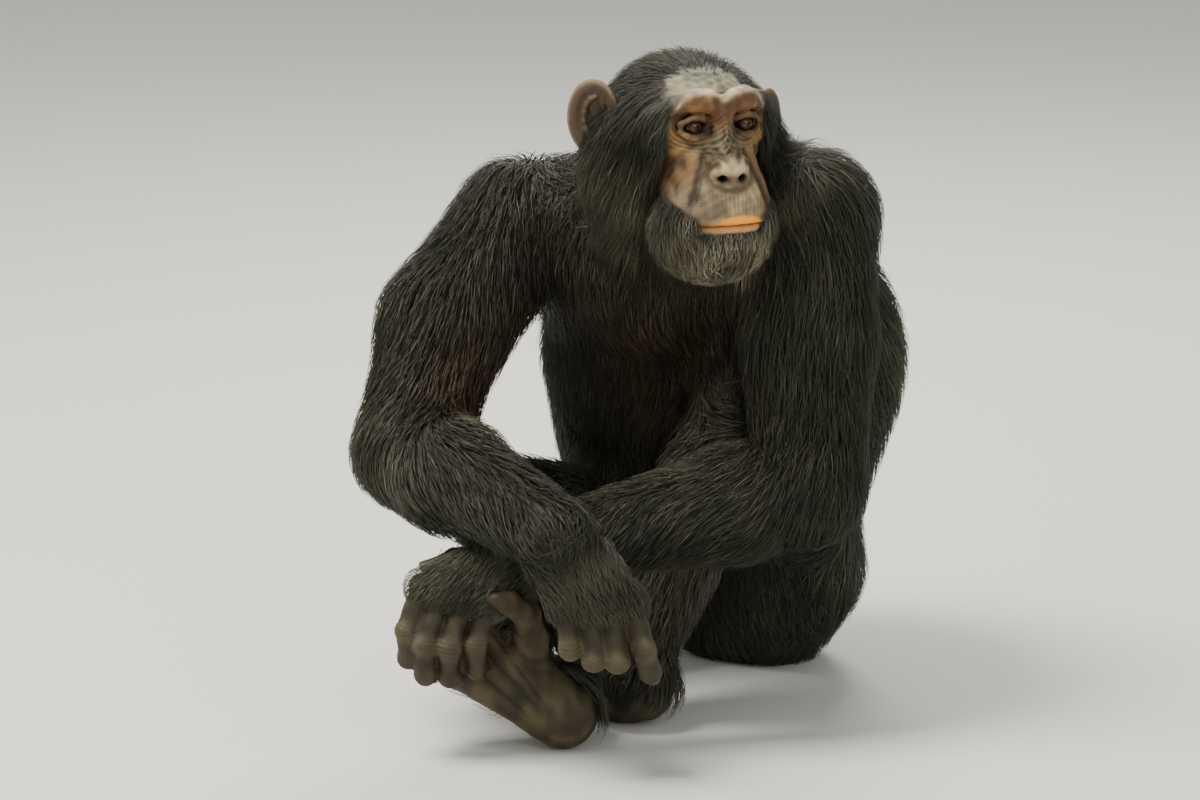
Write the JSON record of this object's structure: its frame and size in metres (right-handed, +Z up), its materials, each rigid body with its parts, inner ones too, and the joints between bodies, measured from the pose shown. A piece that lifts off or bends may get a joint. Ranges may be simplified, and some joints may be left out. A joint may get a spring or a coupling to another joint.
{
  "type": "sitting chimpanzee",
  "caption": "Adult male chimpanzee sitting hunched on its rump with its wrists crossed, one hand holding the toes of its right foot, head turned to its left.",
  "frame": {"origin": "middle of the flat under the rump, on the floor", "axes": "+Z up, -Y the way the chest faces, +X the animal's left"},
  "size_m": [0.5028, 0.6312, 0.6891],
  "materials": {
    "coat": "black hair with a grey-green sheen",
    "bare_skin": "brown wrinkled skin",
    "eye": "wet dark brown"
  },
  "bodies": {
    "root": {"ear_left": "bare_skin", "eye_left": "eye", "upper_arm_left": "coat", "forearm_left": "coat", "hand_left": "coat", "finger_index_left": "bare_skin", "finger_middle_left": "bare_skin", "finger_ring_left": "bare_skin", "finger_little_left": "bare_skin", "thumb_left": "bare_skin", "thigh_left": "coat", "shin_left": "coat", "foot_left": "bare_skin", "toe_1_left": "bare_skin", "toe_2_left": "bare_skin", "toe_3_left": "bare_skin", "toe_4_left": "bare_skin", "toe_5_left": "bare_skin", "ear_right": "bare_skin", "eye_right": "eye", "upper_arm_right": "coat", "forearm_right": "coat", "hand_right": "coat", "finger_index_right": "bare_skin", "finger_middle_right": "bare_skin", "finger_ring_right": "bare_skin", "finger_little_right": "bare_skin", "thumb_right": "bare_skin", "thigh_right": "coat", "shin_right": "coat", "foot_right": "bare_skin", "toe_1_right": "bare_skin", "toe_2_right": "bare_skin", "toe_3_right": "bare_skin", "toe_4_right": "bare_skin", "toe_5_right": "bare_skin", "head": "coat", "neck": "coat", "torso": "coat", "rump": "coat"}
  },
  "joints": []
}
